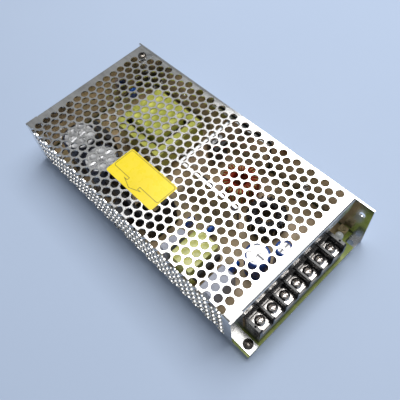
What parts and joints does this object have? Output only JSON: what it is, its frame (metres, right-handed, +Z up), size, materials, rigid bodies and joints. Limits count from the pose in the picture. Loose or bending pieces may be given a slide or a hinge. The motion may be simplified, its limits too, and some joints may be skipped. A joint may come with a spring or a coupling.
{
  "type": "enclosed switching power supply",
  "caption": "Enclosed switching power supply: perforated folded cover over a sheet chassis, with a barrier screw terminal block on an open end ledge.",
  "frame": {"origin": "centre of the base, on the surface it stands on", "axes": "+Z up, +Y from the terminal ledge to the closed back end, +X towards the chassis side wall"},
  "size_m": [0.099, 0.199, 0.0399],
  "materials": {
    "chassis": "satin mill-finish sheet",
    "cover": "bright plated sheet",
    "fasteners": "nickel-plated",
    "insulating_sheet": "thin film",
    "board_spacers": "turned",
    "circuit_board": "phenolic laminate with green mask",
    "terminal_block": "moulded",
    "contact_plates": "nickel-plated brass",
    "clamp_washer": "nickel-plated steel",
    "terminal_screw": "nickel-plated steel",
    "ferrite": "sintered ferrite",
    "yellow_tape": "polyester tape",
    "output_choke_core": "coated iron powder",
    "output_choke_winding": "enamelled copper wire",
    "filter_choke_winding": "enamelled copper wire",
    "bulk_capacitors": "sleeved can with bare aluminium top",
    "output_capacitors": "sleeved can with bare aluminium top",
    "film_capacitor": "moulded box",
    "disc_capacitors": "dipped disc",
    "black_moulding": "moulded epoxy",
    "fuse_link": "glass tube with metal ends",
    "fuse_clips": "tinned",
    "heatsink_bracket": "bright sheet",
    "side_heatsink": "black anodised sheet",
    "indicator_lamp": "clear green-white epoxy",
    "trimmer_body": "moulded",
    "trimmer_rotor": "moulded",
    "selector_body": "moulded",
    "selector_slider": "moulded",
    "yellow_sticker": "plastic film"
  },
  "bodies": {
    "case": {"chassis": "chassis", "cover": "cover", "cover_screws": "fasteners", "insulating_sheet": "insulating_sheet", "board_spacers": "board_spacers", "board_screws": "fasteners", "circuit_board": "circuit_board", "terminal_block": "terminal_block", "contact_plates": "contact_plates", "transformer_core": "ferrite", "transformer_winding": "yellow_tape", "transformer_tape": "yellow_tape", "output_choke_core": "output_choke_core", "output_choke_winding": "output_choke_winding", "filter_choke_core": "ferrite", "filter_choke_winding": "filter_choke_winding", "line_choke_core": "ferrite", "line_choke_winding": "yellow_tape", "bulk_capacitors": "bulk_capacitors", "output_capacitors": "output_capacitors", "film_capacitor": "film_capacitor", "disc_capacitors": "disc_capacitors", "bridge_rectifier": "black_moulding", "fuse_link": "fuse_link", "fuse_clips": "fuse_clips", "heatsink_bracket": "heatsink_bracket", "output_rectifiers": "black_moulding", "side_heatsink": "side_heatsink", "switching_transistors": "black_moulding", "controller_chip": "black_moulding", "indicator_lamp": "indicator_lamp", "trimmer_body": "trimmer_body", "selector_body": "selector_body", "yellow_sticker": "yellow_sticker"},
    "clamp_washer_1": {"clamp_washer_1": "clamp_washer"},
    "clamp_washer_2": {"clamp_washer_2": "clamp_washer"},
    "clamp_washer_3": {"clamp_washer_3": "clamp_washer"},
    "clamp_washer_4": {"clamp_washer_4": "clamp_washer"},
    "clamp_washer_5": {"clamp_washer_5": "clamp_washer"},
    "clamp_washer_6": {"clamp_washer_6": "clamp_washer"},
    "clamp_washer_7": {"clamp_washer_7": "clamp_washer"},
    "terminal_screw_1": {"terminal_screw_1": "terminal_screw"},
    "terminal_screw_2": {"terminal_screw_2": "terminal_screw"},
    "terminal_screw_3": {"terminal_screw_3": "terminal_screw"},
    "terminal_screw_4": {"terminal_screw_4": "terminal_screw"},
    "terminal_screw_5": {"terminal_screw_5": "terminal_screw"},
    "terminal_screw_6": {"terminal_screw_6": "terminal_screw"},
    "terminal_screw_7": {"terminal_screw_7": "terminal_screw"},
    "trimmer_rotor": {"trimmer_rotor": "trimmer_rotor"},
    "selector_slider": {"selector_slider": "selector_slider"}
  },
  "joints": [
    {"name": "clamp_1_lift", "type": "slide", "parent": "case", "child": "clamp_washer_1", "axis": [0, 0, 1], "range_m": [0, 0.0025]},
    {"name": "screw_1_turn", "type": "hinge", "parent": "clamp_washer_1", "child": "terminal_screw_1", "pos_m": [-0.03355, -0.0927, 0.0191], "axis": [0, 0, 1], "range_deg": [0, 1501]},
    {"name": "clamp_2_lift", "type": "slide", "parent": "case", "child": "clamp_washer_2", "axis": [0, 0, 1], "range_m": [0, 0.0025]},
    {"name": "screw_2_turn", "type": "hinge", "parent": "clamp_washer_2", "child": "terminal_screw_2", "pos_m": [-0.02395, -0.0927, 0.0191], "axis": [0, 0, 1], "range_deg": [0, 1501]},
    {"name": "clamp_3_lift", "type": "slide", "parent": "case", "child": "clamp_washer_3", "axis": [0, 0, 1], "range_m": [0, 0.0025]},
    {"name": "screw_3_turn", "type": "hinge", "parent": "clamp_washer_3", "child": "terminal_screw_3", "pos_m": [-0.01435, -0.0927, 0.0191], "axis": [0, 0, 1], "range_deg": [0, 1501]},
    {"name": "clamp_4_lift", "type": "slide", "parent": "case", "child": "clamp_washer_4", "axis": [0, 0, 1], "range_m": [0, 0.0025]},
    {"name": "screw_4_turn", "type": "hinge", "parent": "clamp_washer_4", "child": "terminal_screw_4", "pos_m": [-0.00475, -0.0927, 0.0191], "axis": [0, 0, 1], "range_deg": [0, 1501]},
    {"name": "clamp_5_lift", "type": "slide", "parent": "case", "child": "clamp_washer_5", "axis": [0, 0, 1], "range_m": [0, 0.0025]},
    {"name": "screw_5_turn", "type": "hinge", "parent": "clamp_washer_5", "child": "terminal_screw_5", "pos_m": [0.00485, -0.0927, 0.0191], "axis": [0, 0, 1], "range_deg": [0, 1501]},
    {"name": "clamp_6_lift", "type": "slide", "parent": "case", "child": "clamp_washer_6", "axis": [0, 0, 1], "range_m": [0, 0.0025]},
    {"name": "screw_6_turn", "type": "hinge", "parent": "clamp_washer_6", "child": "terminal_screw_6", "pos_m": [0.01445, -0.0927, 0.0191], "axis": [0, 0, 1], "range_deg": [0, 1501]},
    {"name": "clamp_7_lift", "type": "slide", "parent": "case", "child": "clamp_washer_7", "axis": [0, 0, 1], "range_m": [0, 0.0025]},
    {"name": "screw_7_turn", "type": "hinge", "parent": "clamp_washer_7", "child": "terminal_screw_7", "pos_m": [0.02405, -0.0927, 0.0191], "axis": [0, 0, 1], "range_deg": [0, 1501]},
    {"name": "trimmer_turn", "type": "hinge", "parent": "case", "child": "trimmer_rotor", "pos_m": [0.0446, -0.088, 0.0085], "axis": [0, 0, 1], "range_deg": [-120, 120]},
    {"name": "selector_slide", "type": "slide", "parent": "case", "child": "selector_slider", "axis": [0, 1, 0], "range_m": [0, 0.0032]}
  ],
  "couplings": [
    {"joint": "screw_1_turn", "follows": "clamp_1_lift", "rad_per_m": 10472},
    {"joint": "screw_2_turn", "follows": "clamp_2_lift", "rad_per_m": 10472},
    {"joint": "screw_3_turn", "follows": "clamp_3_lift", "rad_per_m": 10472},
    {"joint": "screw_4_turn", "follows": "clamp_4_lift", "rad_per_m": 10472},
    {"joint": "screw_5_turn", "follows": "clamp_5_lift", "rad_per_m": 10472},
    {"joint": "screw_6_turn", "follows": "clamp_6_lift", "rad_per_m": 10472},
    {"joint": "screw_7_turn", "follows": "clamp_7_lift", "rad_per_m": 10472}
  ]
}
